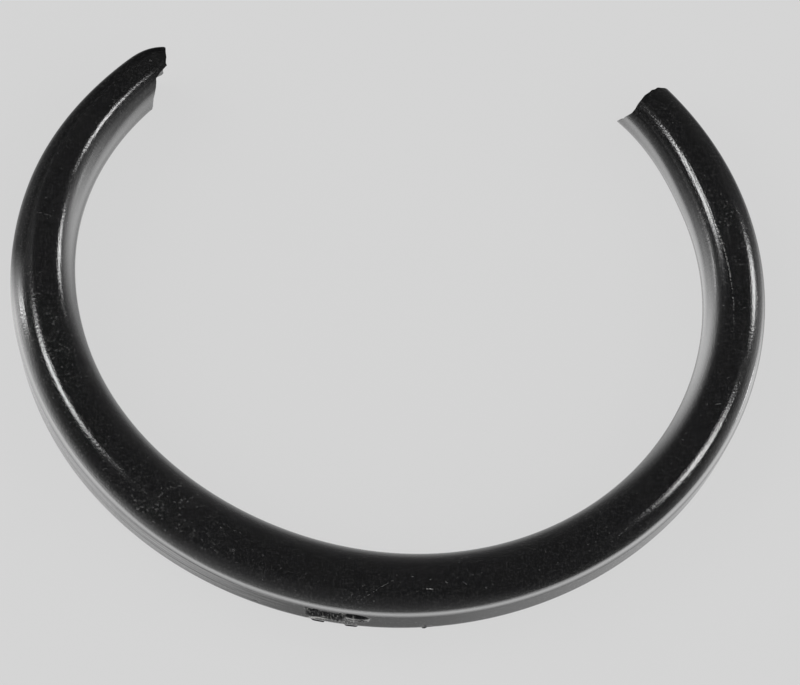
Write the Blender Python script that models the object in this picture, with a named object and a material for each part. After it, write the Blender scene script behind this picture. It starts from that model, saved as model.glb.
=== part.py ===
"""A broken bangle, carved from one piece of black stone and lying on its flat underside.

The ring is one loft: around the ring, the outline of the band is worked out from the sizes below.
A turn of 0 points to -Y, the near side, and grows towards +X. Both ends are broken, and the chips
in the outer wall are cut with shallow scoops. All sizes are in metres.
"""

import bpy
import bmesh
import numpy as np

MM = 0.001

# Plan of the ring: the outermost radius, slightly oval and three-lobed because it was shaped by hand
OUTER_RADIUS = 37.64 * MM
OVAL = 0.24 * MM
OVAL_TURN = np.radians(-45.0)
LOBE = 0.14 * MM
LOBE_TURN = np.radians(19.0)

# Width of the band, with a swelling at the near left and a thinner left end
BAND_WIDTH = 6.15 * MM
SWELL = 1.83 * MM
SWELL_TURN = np.radians(-22.0)
SWELL_SPREAD = np.radians(54.0)
LEFT_THINNING_INSIDE = 1.14 * MM
LEFT_THINNING_OUTSIDE = 0.50 * MM
LEFT_INSIDE_FROM = np.radians(-70.0)
LEFT_OUTSIDE_FROM = np.radians(-100.0)
LEFT_THIN_TO = np.radians(-135.0)
LEFT_TIP_ROUND = 1.98 * MM
LEFT_TIP_FROM = np.radians(-127.0)
RIGHT_THINNING_INSIDE = 0.55 * MM
RIGHT_THINNING_OUTSIDE = 0.06 * MM
RIGHT_THIN_FROM = np.radians(117.0)
RIGHT_THIN_TO = np.radians(139.0)

# Height of the band, which is a little taller on one side
BAND_HEIGHT = 5.11 * MM
HEIGHT_LEAN = 0.64 * MM
HEIGHT_LEAN_TURN = np.radians(-69.0)

# Outline of the band: rounded inside, a low crown, a tight shoulder and a wall that leans in below.
# The inner round is half of a squarish ellipse and takes at most its share of the band's width.
INNER_ROUND = 3.2 * MM
INNER_SHARE = 0.52
INNER_SQUARENESS = 2.5
CROWN_DROP = 0.60 * MM
SHOULDER_RADIUS = 0.70 * MM
WALL_LEAN = np.radians(9.0)
HEEL_RADIUS = 1.5 * MM

# The break at the left end: slanting, in two hollow flakes. The step between them lies near the
# inner side at the top and further out below.
LEFT_BREAK_TURN = np.radians(-125.0)
LEFT_SLANT = 4.4 * MM
LEFT_SLANT_POWER = 0.42
LEFT_SLANT_TO = 0.85
LEFT_STEP = 1.45 * MM
LEFT_STEP_AT = 0.23
LEFT_STEP_LEAN = 0.60
LEFT_STEP_SPREAD = 0.05
LEFT_HOLLOW = 0.30 * MM
LEFT_BITE = 0.40 * MM
LEFT_BITE_WIDTH = 0.50
LEFT_BITE_UNDER = 0.85
LEFT_BITE_FULL_UNDER = 0.30

# The break at the right end: nearly square, with a lip low on the inner side and both corners lost
RIGHT_BREAK_TURN = np.radians(139.1)
RIGHT_CORNER_LOSS = 0.75 * MM
RIGHT_CORNER_WIDTH = 0.45
RIGHT_OUTER_LOSS = 0.90 * MM
RIGHT_OUTER_FROM = 0.72
RIGHT_LIP = 2.0 * MM
RIGHT_LIP_WIDTH = 0.60
RIGHT_LIP_HEIGHT = 0.90
RIGHT_HOLLOW = 0.35 * MM

# Chips along the outer wall: turn, share of the height, half length, half height, depth
CHIPS = (
    ("lens", np.radians(1.4), 0.64, 1.45 * MM, 0.55 * MM, 0.25 * MM),
    ("rough", np.radians(-3.6), 0.45, 2.20 * MM, 0.70 * MM, 0.30 * MM),
    ("heel_left", np.radians(-4.2), 0.24, 1.10 * MM, 0.60 * MM, 0.45 * MM),
    ("heel_right", np.radians(0.9), 0.26, 0.90 * MM, 0.50 * MM, 0.40 * MM),
    ("nick", np.radians(12.1), 0.24, 0.40 * MM, 0.35 * MM, 0.25 * MM),
)

# Fineness of the loft
STATIONS = 96
CROWN_STEPS = 5
SHOULDER_STEPS = 4
WALL_STEPS = 2
HEEL_STEPS = 3
BASE_STEPS = 2
INNER_STEPS = 10
END_WARP = np.radians(14.0)
END_GUESSES = 24
CAP_RINGS = (0.8, 0.6, 0.35)
SCOOP_STEPS = 2
SCOOP_NARROWING = np.sqrt(0.75)
SHARP_ANGLE = np.radians(35.0)

STONE_COLOUR = (0.0085, 0.0083, 0.0085, 1.0)
STONE_ROUGHNESS = 0.12
STONE_IOR = 1.57


def smooth_step(value, start, end):
    """A share that rises smoothly from 0 at start to 1 at end."""
    share = np.clip((value - start) / (end - start), 0.0, 1.0)
    return share * share * (3.0 - 2.0 * share)


def ring_radius(turn):
    """Outermost radius of the whole ring before its ends thin out."""
    oval = OVAL * np.cos(2.0 * (turn - OVAL_TURN))
    lobes = LOBE * np.cos(3.0 * (turn - LOBE_TURN))
    return OUTER_RADIUS + oval + lobes


def inner_radius(turn):
    """Radius of the inner side: the ring's radius less the width of the band."""
    swell = SWELL * np.exp(-((turn - SWELL_TURN) / SWELL_SPREAD) ** 2)
    left = LEFT_THINNING_INSIDE * smooth_step(turn, LEFT_INSIDE_FROM, LEFT_THIN_TO)
    right = RIGHT_THINNING_INSIDE * smooth_step(turn, RIGHT_THIN_FROM, RIGHT_THIN_TO)
    return ring_radius(turn) - (BAND_WIDTH + swell - left - right)


def outer_radius(turn):
    """Radius of the wall: the ring's radius less what both ends lose."""
    left = LEFT_THINNING_OUTSIDE * smooth_step(turn, LEFT_OUTSIDE_FROM, LEFT_THIN_TO)
    past_tip = np.clip((turn - LEFT_TIP_FROM) / (LEFT_THIN_TO - LEFT_TIP_FROM), 0.0, None)
    right = RIGHT_THINNING_OUTSIDE * smooth_step(turn, RIGHT_THIN_FROM, RIGHT_THIN_TO)
    return ring_radius(turn) - left - LEFT_TIP_ROUND * past_tip ** 3 - right


def band_width(turn):
    """Width of the band from its inner side to the widest point of its shoulder."""
    return outer_radius(turn) - inner_radius(turn)


def band_height(turn):
    """Height of the crown's top edge above the underside."""
    return BAND_HEIGHT + HEIGHT_LEAN * np.cos(turn - HEIGHT_LEAN_TURN)


def band_outline(width, height):
    """Distance from the inner side and height of the outline's points, for each width and height.

    The crown is an arc that starts level above the inner round and meets the shoulder arc, whose
    outermost point is the band's width away from the inner side. Below it the wall leans in to the
    heel. The underside is flat, and the inner side is half of a squarish ellipse.
    """
    width = np.asarray(width, dtype=float)[..., None]
    height = np.asarray(height, dtype=float)[..., None]
    inner_round = np.minimum(INNER_ROUND, INNER_SHARE * width)
    run = width - SHOULDER_RADIUS - inner_round
    shoulder_angle = np.pi / 2 - 2.0 * np.arctan(CROWN_DROP / run)
    crown_radius = SHOULDER_RADIUS + run / np.cos(shoulder_angle)

    share = np.arange(CROWN_STEPS) / CROWN_STEPS
    angle = np.pi / 2 + (shoulder_angle - np.pi / 2) * share
    crown_x = inner_round + crown_radius * np.cos(angle)
    crown_z = height - crown_radius * (1.0 - np.sin(angle))

    share = np.arange(SHOULDER_STEPS + 1) / SHOULDER_STEPS
    angle = shoulder_angle + (-WALL_LEAN - shoulder_angle) * share
    shoulder_height = height - SHOULDER_RADIUS - CROWN_DROP
    shoulder_x = width - SHOULDER_RADIUS + SHOULDER_RADIUS * np.cos(angle)
    shoulder_z = shoulder_height + SHOULDER_RADIUS * np.sin(angle)

    heel_top = HEEL_RADIUS * (1.0 - np.sin(WALL_LEAN))
    drop = shoulder_z[..., -1:] - heel_top
    share = np.arange(1, WALL_STEPS) / WALL_STEPS
    wall_x = shoulder_x[..., -1:] - drop * np.tan(WALL_LEAN) * share
    wall_z = shoulder_z[..., -1:] - drop * share

    share = np.arange(HEEL_STEPS + 1) / HEEL_STEPS
    angle = -WALL_LEAN + (WALL_LEAN - np.pi / 2) * share
    heel_centre = shoulder_x[..., -1:] - drop * np.tan(WALL_LEAN) - HEEL_RADIUS * np.cos(WALL_LEAN)
    heel_x = heel_centre + HEEL_RADIUS * np.cos(angle)
    heel_z = HEEL_RADIUS * (1.0 + np.sin(angle)) + 0.0 * heel_centre

    share = np.arange(1, BASE_STEPS) / BASE_STEPS
    base_x = heel_centre + (inner_round - heel_centre) * share
    base_z = 0.0 * base_x

    angle = np.pi * (np.arange(INNER_STEPS) / INNER_STEPS - 0.5)
    inwards = np.cos(angle) ** (2.0 / INNER_SQUARENESS)
    upwards = np.sign(angle) * np.abs(np.sin(angle)) ** (2.0 / INNER_SQUARENESS)
    inner_x = inner_round * (1.0 - inwards)
    inner_z = height / 2 * (1.0 + upwards)

    x = np.concatenate([crown_x, shoulder_x, wall_x, heel_x, base_x, inner_x], axis=-1)
    z = np.concatenate([crown_z, shoulder_z, wall_z, heel_z, base_z, inner_z], axis=-1)
    return x, z


def left_break(across, up):
    """Turn at which the left end stops, for a share across the band and a share of its height."""
    step_at = LEFT_STEP_AT + LEFT_STEP_LEAN * (1.0 - up)
    step = LEFT_STEP * smooth_step(across, step_at - LEFT_STEP_SPREAD, step_at + LEFT_STEP_SPREAD)
    slant = LEFT_SLANT * np.clip(across, 0.0, LEFT_SLANT_TO) ** LEFT_SLANT_POWER
    hollow = LEFT_HOLLOW * np.sin(np.pi * across) * np.sin(np.pi * up)
    bite_up = smooth_step(up, LEFT_BITE_UNDER, LEFT_BITE_FULL_UNDER)
    bite = LEFT_BITE * bite_up * np.clip(1.0 - across / LEFT_BITE_WIDTH, 0.0, 1.0)
    return LEFT_BREAK_TURN - (slant + step - hollow - bite) / OUTER_RADIUS


def right_break(across, up):
    """Turn at which the right end stops, for a share across the band and a share of its height."""
    corner = RIGHT_CORNER_LOSS * np.clip(1.0 - across / RIGHT_CORNER_WIDTH, 0.0, 1.0) * up
    outer = np.clip((across - RIGHT_OUTER_FROM) / (1.0 - RIGHT_OUTER_FROM), 0.0, 1.0)
    loss = corner + RIGHT_OUTER_LOSS * outer ** 2 * up
    lip_across = np.clip(1.0 - across / RIGHT_LIP_WIDTH, 0.0, 1.0)
    lip_up = np.clip(1.0 - up / RIGHT_LIP_HEIGHT, 0.0, 1.0)
    hollow = RIGHT_HOLLOW * np.sin(np.pi * across) * np.sin(np.pi * up)
    return RIGHT_BREAK_TURN + (RIGHT_LIP * lip_across * lip_up - loss - hollow) / OUTER_RADIUS


def point_on_band(turn, x, z):
    """World position for a turn, a distance from the inner side and a height."""
    radius = inner_radius(turn) + x
    return np.stack([radius * np.sin(turn), -radius * np.cos(turn), z], axis=-1)


def outline_at(turns):
    """The outline's points, each column of them taken at the turn that stands in its place."""
    x, z = band_outline(band_width(turns), band_height(turns))
    columns = np.arange(x.shape[1])
    return x[columns, columns], z[columns, columns]


def end_outline(break_surface, start):
    """Where the outline's columns meet a break: their turns and their shares across and up.

    A column's shares depend on its turn and the turn depends on the shares, so the turns are guessed
    from the start and drawn halfway towards the break a few times.
    """
    count = band_outline(BAND_WIDTH, BAND_HEIGHT)[0].shape[-1]
    turns = np.full(count, start)
    for _ in range(END_GUESSES):
        x, z = outline_at(turns)
        across = x / band_width(turns)
        up = z / band_height(turns)
        turns = (turns + break_surface(across, up)) / 2
    return turns, across, up


def loft_points(left_end, right_end):
    """Grid of points, station by station from the left break to the right one."""
    plain = np.linspace(LEFT_BREAK_TURN, RIGHT_BREAK_TURN, STATIONS)
    near_left = 1.0 - smooth_step(plain, LEFT_BREAK_TURN, LEFT_BREAK_TURN + END_WARP)
    near_right = smooth_step(plain, RIGHT_BREAK_TURN - END_WARP, RIGHT_BREAK_TURN)
    stations = []
    for turn, left, right in zip(plain, near_left, near_right):
        turns = turn + left * (left_end - LEFT_BREAK_TURN) + right * (right_end - RIGHT_BREAK_TURN)
        x, z = outline_at(turns)
        stations.append(point_on_band(turns, x, z))
    return np.stack(stations)


def cap_points(break_surface, edge_across, edge_up):
    """Smaller outlines inside an end's outline, on the break's surface, and its middle point."""
    rings = []
    for share in CAP_RINGS + (0.0,):
        across = 0.5 + (edge_across - 0.5) * share
        up = 0.5 + (edge_up - 0.5) * share
        turn = break_surface(across, up)
        rings.append(point_on_band(turn, across * band_width(turn), up * band_height(turn)))
    return rings[:-1], rings[-1][0]


def add_cap(bm, edge_loop, rings, middle, flip):
    """Close an end: strips between the loops and a fan to the middle point."""
    loops = [edge_loop] + [[bm.verts.new(point) for point in ring] for ring in rings]
    centre = bm.verts.new(middle)
    count = len(edge_loop)
    for outer, inner in zip(loops[:-1], loops[1:]):
        for k in range(count):
            corners = [outer[k], outer[(k + 1) % count], inner[(k + 1) % count], inner[k]]
            bm.faces.new(corners[::-1] if flip else corners)
    for k in range(count):
        corners = [loops[-1][k], loops[-1][(k + 1) % count], centre]
        bm.faces.new(corners[::-1] if flip else corners)


def build_ring():
    """The whole band as one closed mesh object."""
    left_end, left_across, left_up = end_outline(left_break, LEFT_BREAK_TURN)
    right_end, right_across, right_up = end_outline(right_break, RIGHT_BREAK_TURN)
    points = loft_points(left_end, right_end)
    stations, count, _ = points.shape
    bm = bmesh.new()
    grid = [[bm.verts.new(point) for point in row] for row in points]
    for i in range(stations - 1):
        for k in range(count):
            n = (k + 1) % count
            bm.faces.new([grid[i][k], grid[i][n], grid[i + 1][n], grid[i + 1][k]])
    left_rings, left_middle = cap_points(left_break, left_across, left_up)
    right_rings, right_middle = cap_points(right_break, right_across, right_up)
    add_cap(bm, grid[0], left_rings, left_middle, True)
    add_cap(bm, grid[-1], right_rings, right_middle, False)
    bmesh.ops.recalc_face_normals(bm, faces=bm.faces)
    mesh = bpy.data.meshes.new("bangle")
    bm.to_mesh(mesh)
    bm.free()
    return bpy.data.objects.new("bangle", mesh)


def build_scoop(name, turn, height_share, half_length, half_height, depth):
    """An egg-shaped cutter that reaches the chip's depth into the wall.

    Its middle stands as far outside the wall as its depth, and it is twice as thick, so the wall
    meets it at half its thickness, where it is narrower than at its middle by SCOOP_NARROWING.
    """
    bm = bmesh.new()
    bmesh.ops.create_icosphere(bm, subdivisions=SCOOP_STEPS, radius=1.0)
    sizes = (half_length / SCOOP_NARROWING, 2.0 * depth, half_height / SCOOP_NARROWING)
    bmesh.ops.scale(bm, vec=sizes, verts=bm.verts)
    mesh = bpy.data.meshes.new("scoop_" + name)
    bm.to_mesh(mesh)
    bm.free()
    height = band_height(turn) * height_share
    shoulder_height = band_height(turn) - SHOULDER_RADIUS - CROWN_DROP
    lean = max(shoulder_height - height, 0.0) * np.tan(WALL_LEAN)
    radius = outer_radius(turn) - lean + depth
    scoop = bpy.data.objects.new("scoop_" + name, mesh)
    scoop.location = (radius * np.sin(turn), -radius * np.cos(turn), height)
    scoop.rotation_euler = (0.0, 0.0, turn)
    scoop.hide_render = True
    scoop.display_type = "WIRE"
    return scoop


def stone_material():
    material = bpy.data.materials.new("polished_black_stone")
    material.use_nodes = True
    shader = material.node_tree.nodes["Principled BSDF"]
    shader.inputs["Base Color"].default_value = STONE_COLOUR
    shader.inputs["Roughness"].default_value = STONE_ROUGHNESS
    shader.inputs["Metallic"].default_value = 0.0
    shader.inputs["IOR"].default_value = STONE_IOR
    return material


def build_ring_middle(bangle):
    """An empty on the ring's axis, placed so that the middle of the bangle's box is at the origin."""
    corners = np.array([vertex.co for vertex in bangle.data.vertices])
    middle = (corners.min(axis=0) + corners.max(axis=0)) / 2
    ring_middle = bpy.data.objects.new("ring_middle", None)
    ring_middle.location = (-middle[0], -middle[1], 0.0)
    return ring_middle


def cut(bangle, scoop):
    modifier = bangle.modifiers.new("cut_" + scoop.name, "BOOLEAN")
    modifier.operation = "DIFFERENCE"
    modifier.solver = "EXACT"
    modifier.object = scoop


def main():
    for item in list(bpy.data.objects):
        bpy.data.objects.remove(item, do_unlink=True)
    parts = bpy.data.collections.new("broken_bangle")
    cutters = bpy.data.collections.new("cutters")
    bpy.context.scene.collection.children.link(parts)
    bpy.context.scene.collection.children.link(cutters)

    bangle = build_ring()
    bangle.data.materials.append(stone_material())
    bangle.data.shade_smooth()
    bangle.data.set_sharp_from_angle(angle=SHARP_ANGLE)
    ring_middle = build_ring_middle(bangle)
    parts.objects.link(ring_middle)
    parts.objects.link(bangle)
    bangle.parent = ring_middle
    for chip in CHIPS:
        scoop = build_scoop(*chip)
        cutters.objects.link(scoop)
        scoop.parent = ring_middle
        cut(bangle, scoop)


main()
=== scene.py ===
# %% [markdown]
# # A broken bangle of polished black stone
#
# The real thing is a band about 7 mm wide and 5 mm high, carved from one piece of fine black stone
# and rubbed until it shone like glass. A quarter of the ring is lost, and what is left lies flat on
# a pale table. This lesson rebuilds it as one numpy surface, gives it a polish that has been worn,
# pitted and chipped, and lights it the way a museum photographer would.
#
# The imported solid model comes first. It fixes the place and the size of everything that follows.

# %% Load the solid model and note its box
import bpy
import numpy as np
from mathutils import Matrix, Vector


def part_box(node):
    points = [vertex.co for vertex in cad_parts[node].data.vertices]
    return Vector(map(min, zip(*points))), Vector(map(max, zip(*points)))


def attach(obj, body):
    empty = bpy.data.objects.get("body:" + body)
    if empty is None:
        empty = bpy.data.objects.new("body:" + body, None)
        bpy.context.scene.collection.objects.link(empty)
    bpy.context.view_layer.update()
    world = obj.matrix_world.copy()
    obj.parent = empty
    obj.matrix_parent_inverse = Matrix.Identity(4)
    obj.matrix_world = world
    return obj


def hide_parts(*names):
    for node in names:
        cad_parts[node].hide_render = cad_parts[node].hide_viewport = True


MM = 0.001

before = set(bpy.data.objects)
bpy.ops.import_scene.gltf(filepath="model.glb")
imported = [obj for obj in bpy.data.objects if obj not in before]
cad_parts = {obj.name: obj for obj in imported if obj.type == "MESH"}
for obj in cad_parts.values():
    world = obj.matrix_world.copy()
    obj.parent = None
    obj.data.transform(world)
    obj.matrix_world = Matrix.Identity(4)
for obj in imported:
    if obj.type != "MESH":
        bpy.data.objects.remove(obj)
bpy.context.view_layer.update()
cad_low, cad_high = (np.array(corner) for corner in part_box("bangle"))
print("solid model:", np.round((cad_high - cad_low) / MM, 2), "mm")

# %% [markdown]
# ## The plan of the ring
#
# A lathe would give a perfect circle, but this ring was ground by hand: it is slightly oval and
# slightly three-lobed, it swells at the near left and thins towards its left end. Each of those is
# a small term added to a radius, so the whole plan is two functions of one angle. A turn of 0 points
# to the near side and grows towards the right.

# %% Sizes of the ring, the same as in the solid model
OUTER_RADIUS = 37.64 * MM
OVAL = 0.24 * MM
OVAL_TURN = np.radians(-45.0)
LOBE = 0.14 * MM
LOBE_TURN = np.radians(19.0)
BAND_WIDTH = 6.15 * MM
SWELL = 1.83 * MM
SWELL_TURN = np.radians(-22.0)
SWELL_SPREAD = np.radians(54.0)
LEFT_THINNING_INSIDE = 1.14 * MM
LEFT_THINNING_OUTSIDE = 0.50 * MM
LEFT_INSIDE_FROM = np.radians(-70.0)
LEFT_OUTSIDE_FROM = np.radians(-100.0)
LEFT_THIN_TO = np.radians(-135.0)
LEFT_TIP_ROUND = 1.98 * MM
LEFT_TIP_FROM = np.radians(-127.0)
RIGHT_THINNING_INSIDE = 0.55 * MM
RIGHT_THINNING_OUTSIDE = 0.06 * MM
RIGHT_THIN_FROM = np.radians(117.0)
RIGHT_THIN_TO = np.radians(139.0)
BAND_HEIGHT = 5.11 * MM
HEIGHT_LEAN = 0.64 * MM
HEIGHT_LEAN_TURN = np.radians(-69.0)


def smooth_step(value, start, end):
    """Rises from 0 at start to 1 at end: share squared times three minus two shares."""
    share = np.clip((value - start) / (end - start), 0.0, 1.0)
    return share * share * (3.0 - 2.0 * share)


def bell(value, middle, spread):
    """A bell curve, 1 at its middle: e to the power of minus the squared way from it, in spreads."""
    return np.exp(-((value - middle) / spread) ** 2)


def ring_radius(turn):
    """A circle plus a term with two waves round the ring and one with three."""
    oval = OVAL * np.cos(2.0 * (turn - OVAL_TURN))
    return OUTER_RADIUS + oval + LOBE * np.cos(3.0 * (turn - LOBE_TURN))


def inner_radius(turn):
    """The ring's radius less the width of the band, which swells as a bell curve round one turn."""
    swell = SWELL * bell(turn, SWELL_TURN, SWELL_SPREAD)
    left = LEFT_THINNING_INSIDE * smooth_step(turn, LEFT_INSIDE_FROM, LEFT_THIN_TO)
    right = RIGHT_THINNING_INSIDE * smooth_step(turn, RIGHT_THIN_FROM, RIGHT_THIN_TO)
    return ring_radius(turn) - (BAND_WIDTH + swell - left - right)


def outer_radius(turn):
    """The ring's radius less what the ends lose, the left tip with the cube of the way past it."""
    left = LEFT_THINNING_OUTSIDE * smooth_step(turn, LEFT_OUTSIDE_FROM, LEFT_THIN_TO)
    past_tip = np.clip((turn - LEFT_TIP_FROM) / (LEFT_THIN_TO - LEFT_TIP_FROM), 0.0, None)
    right = RIGHT_THINNING_OUTSIDE * smooth_step(turn, RIGHT_THIN_FROM, RIGHT_THIN_TO)
    return ring_radius(turn) - left - LEFT_TIP_ROUND * past_tip ** 3 - right


def band_width(turn):
    """Outer radius less inner radius."""
    return outer_radius(turn) - inner_radius(turn)


def band_height(turn):
    """A height plus one slow wave round the ring, because one side was ground less."""
    return BAND_HEIGHT + HEIGHT_LEAN * np.cos(turn - HEIGHT_LEAN_TURN)


print("ring:", round(2 * OUTER_RADIUS / MM, 1), "mm across,",
      round(float(band_width(SWELL_TURN)) / MM, 1), "mm wide at its swelling")

# %% [markdown]
# ## The outline of the band
#
# Cut the band across and the outline shows how it was made: a soft inner side like half a squarish
# ellipse, where the skin lay, a low crown on top, a tight shoulder, a wall that leans in and a flat
# underside. The outline is a second function, of a place around it from 0 to 6, where the whole
# number picks the stretch and the fraction is the share along it. Two parameters, the turn and the
# place around, then give every point of the surface. The crown is a slightly rounder arc than in the
# solid model, so that the lamps mirror where they should. It stays within 0.25 mm of the solid's
# crown along the ring, and within 0.35 mm by the left break.

# %% The outline as a function of the place around it
INNER_SHARE = 0.60
INNER_SQUARENESS = 2.5
CROWN_RADIUS = 4.70 * MM
SHOULDER_RADIUS = 0.70 * MM
WALL_LEAN = np.radians(9.0)
HEEL_RADIUS = 1.5 * MM
CROWN, SHOULDER, WALL, HEEL, BASE, INNER, AROUND_END = range(7)


def outline(around, turn):
    """Distance from the inner side and height above the table of a place around the band at a turn.

    Crown: an arc that starts level above the inner round and ends where it meets the shoulder's arc.
    Shoulder: an arc whose outermost point is the band's width away. Wall: a straight line that leans
    in as it goes down. Heel: an arc down to the table. Base: level. Inner side: half an ellipse whose
    cosine and sine are raised to less than one, which makes it squarer.
    """
    stretch = np.clip(np.floor(around), CROWN, INNER).astype(int)
    share = around - stretch
    width, height = band_width(turn), band_height(turn)
    inner_round = INNER_SHARE * width
    reach = CROWN_RADIUS - SHOULDER_RADIUS
    shoulder_angle = np.arccos((width - SHOULDER_RADIUS - inner_round) / reach)
    shoulder_height = height - CROWN_RADIUS + reach * np.sin(shoulder_angle)
    wall_x = width - SHOULDER_RADIUS * (1.0 - np.cos(WALL_LEAN))
    wall_z = shoulder_height - SHOULDER_RADIUS * np.sin(WALL_LEAN)
    drop = wall_z - HEEL_RADIUS * (1.0 - np.sin(WALL_LEAN))
    heel_x = wall_x - drop * np.tan(WALL_LEAN) - HEEL_RADIUS * np.cos(WALL_LEAN)

    crown_turn = np.pi / 2 + (shoulder_angle - np.pi / 2) * share
    shoulder_turn = shoulder_angle + (-WALL_LEAN - shoulder_angle) * share
    heel_turn = -WALL_LEAN + (WALL_LEAN - np.pi / 2) * share
    inner_turn = np.pi * np.where(stretch == INNER, share - 0.5, 0.0)
    inwards = np.cos(inner_turn) ** (2.0 / INNER_SQUARENESS)
    upwards = np.sign(inner_turn) * np.abs(np.sin(inner_turn)) ** (2.0 / INNER_SQUARENESS)
    pick = [stretch == number for number in range(AROUND_END)]
    x = np.select(pick, [
        inner_round + CROWN_RADIUS * np.cos(crown_turn),
        width - SHOULDER_RADIUS + SHOULDER_RADIUS * np.cos(shoulder_turn),
        wall_x - drop * np.tan(WALL_LEAN) * share,
        heel_x + HEEL_RADIUS * np.cos(heel_turn),
        heel_x + (inner_round - heel_x) * share,
        inner_round * (1.0 - inwards),
    ])
    z = np.select(pick, [
        height - CROWN_RADIUS * (1.0 - np.sin(crown_turn)),
        shoulder_height + SHOULDER_RADIUS * np.sin(shoulder_turn),
        wall_z - drop * share,
        HEEL_RADIUS * (1.0 + np.sin(heel_turn)),
        0.0,
        height / 2 * (1.0 + upwards),
    ])
    return x, z


def on_band(turn, x, z):
    """World position: the inner radius plus x, carried to its turn, at height z."""
    radius = inner_radius(turn) + x
    return np.stack([radius * np.sin(turn), -radius * np.cos(turn), z], axis=-1)


widest, highest = outline(np.linspace(CROWN, AROUND_END, 400), 0.0)
print("outline on the near side:", round(float(widest.max() - widest.min()) / MM, 2), "by",
      round(float(highest.max()) / MM, 2), "mm")

# %% [markdown]
# ## The two breaks
#
# Fine stone breaks like glass, in smooth shells with sharp rims, and nothing is bent. The left end
# came off in two slanting flakes and the right one almost square, with a lip left low on the inner
# side. Each break is one function that says at which turn the stone stops, for a share across the
# band and a share of its height. A little waviness in it makes the rim uneven, as a real one is.

# %% A quiet waviness, and the two breaks
LEFT_BREAK_TURN = np.radians(-125.0)
LEFT_SLANT = 4.4 * MM
LEFT_SLANT_POWER = 0.42
LEFT_SLANT_TO = 0.85
LEFT_STEP = 1.45 * MM
LEFT_STEP_AT = 0.23
LEFT_STEP_LEAN = 0.60
LEFT_STEP_SPREAD = 0.05
LEFT_HOLLOW = 0.30 * MM
LEFT_BITE = 0.40 * MM
LEFT_BITE_WIDTH = 0.50
LEFT_BITE_UNDER = 0.85
LEFT_BITE_FULL_UNDER = 0.30
RIGHT_BREAK_TURN = np.radians(139.1)
RIGHT_CORNER_LOSS = 0.75 * MM
RIGHT_CORNER_WIDTH = 0.45
RIGHT_OUTER_LOSS = 0.90 * MM
RIGHT_OUTER_FROM = 0.72
RIGHT_LIP = 2.0 * MM
RIGHT_LIP_WIDTH = 0.60
RIGHT_LIP_HEIGHT = 0.90
RIGHT_HOLLOW = 0.35 * MM
BREAK_WAVES = 0.035 * MM
BREAK_WAVE_LENGTH = 0.16
LEFT_BREAK_SEED = 3
RIGHT_BREAK_SEED = 8
WAVES = 9
SHORTEST_WAVE = 0.7
WAVE_VARIETY = 0.6
# A whole wave in radians, for the random phases
WHOLE_WAVE = 6.283


def waviness(first, second, length, seed):
    """Sum of plane waves of about one length, in random directions and phases, about 1 high."""
    random = np.random.default_rng(seed)
    total = np.zeros(np.broadcast(first, second).shape)
    for heading, phase, stretch in random.random((WAVES, 3)):
        angle = 2.0 * np.pi * heading
        step = 2.0 * np.pi / (length * (SHORTEST_WAVE + WAVE_VARIETY * stretch))
        total += np.sin(step * (first * np.cos(angle) + second * np.sin(angle)) + WHOLE_WAVE * phase)
    return total * np.sqrt(2.0 / WAVES)


def left_break(across, up):
    """Turn of the left break: a slant that steepens inwards, a step, a hollow and a low bite."""
    step_at = LEFT_STEP_AT + LEFT_STEP_LEAN * (1.0 - up)
    step = LEFT_STEP * smooth_step(across, step_at - LEFT_STEP_SPREAD, step_at + LEFT_STEP_SPREAD)
    slant = LEFT_SLANT * np.clip(across, 0.0, LEFT_SLANT_TO) ** LEFT_SLANT_POWER
    hollow = LEFT_HOLLOW * np.sin(np.pi * across) * np.sin(np.pi * up)
    bite_up = smooth_step(up, LEFT_BITE_UNDER, LEFT_BITE_FULL_UNDER)
    bite = LEFT_BITE * bite_up * np.clip(1.0 - across / LEFT_BITE_WIDTH, 0.0, 1.0)
    waves = BREAK_WAVES * waviness(across, up, BREAK_WAVE_LENGTH, LEFT_BREAK_SEED)
    return LEFT_BREAK_TURN - (slant + step - hollow - bite + waves) / OUTER_RADIUS


def right_break(across, up):
    """Turn of the right break: square, less both corners on top, plus a low lip on the inner side."""
    corner = RIGHT_CORNER_LOSS * np.clip(1.0 - across / RIGHT_CORNER_WIDTH, 0.0, 1.0) * up
    outer = np.clip((across - RIGHT_OUTER_FROM) / (1.0 - RIGHT_OUTER_FROM), 0.0, 1.0)
    loss = corner + RIGHT_OUTER_LOSS * outer ** 2 * up
    lip_across = np.clip(1.0 - across / RIGHT_LIP_WIDTH, 0.0, 1.0)
    lip_up = np.clip(1.0 - up / RIGHT_LIP_HEIGHT, 0.0, 1.0)
    hollow = RIGHT_HOLLOW * np.sin(np.pi * across) * np.sin(np.pi * up)
    waves = BREAK_WAVES * waviness(across, up, BREAK_WAVE_LENGTH, RIGHT_BREAK_SEED)
    return RIGHT_BREAK_TURN + (RIGHT_LIP * lip_across * lip_up - loss - hollow + waves) / OUTER_RADIUS


print("left end at", round(float(np.degrees(left_break(0.9, 1.0))), 1), "and right end at",
      round(float(np.degrees(right_break(0.9, 1.0))), 1), "degrees")

# %% [markdown]
# ## A fine grid over the band
#
# The grid runs from one break to the other and around the outline. Its lines stand closer where
# there is more to see: in the chipped stretch of the near side and at both ends. A column of the
# grid meets the break where its own shares across and up say, and since those depend on the turn
# again, the turns start from a guess and go halfway to the break again and again.

# %% Lay out the grid's lines
STATIONS = 800
TURN_SAMPLES = 6000
STEPS = {CROWN: 14, SHOULDER: 14, WALL: 34, HEEL: 16, BASE: 3, INNER: 30}
CHIPPED_TURN = np.radians(-1.0)
CHIPPED_SPREAD = np.radians(7.0)
CHIPPED_FINENESS = 2.6
END_FINENESS = 2.5
END_SPREAD = np.radians(2.5)
END_WARP = np.radians(14.0)
END_GUESSES = 40


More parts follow.
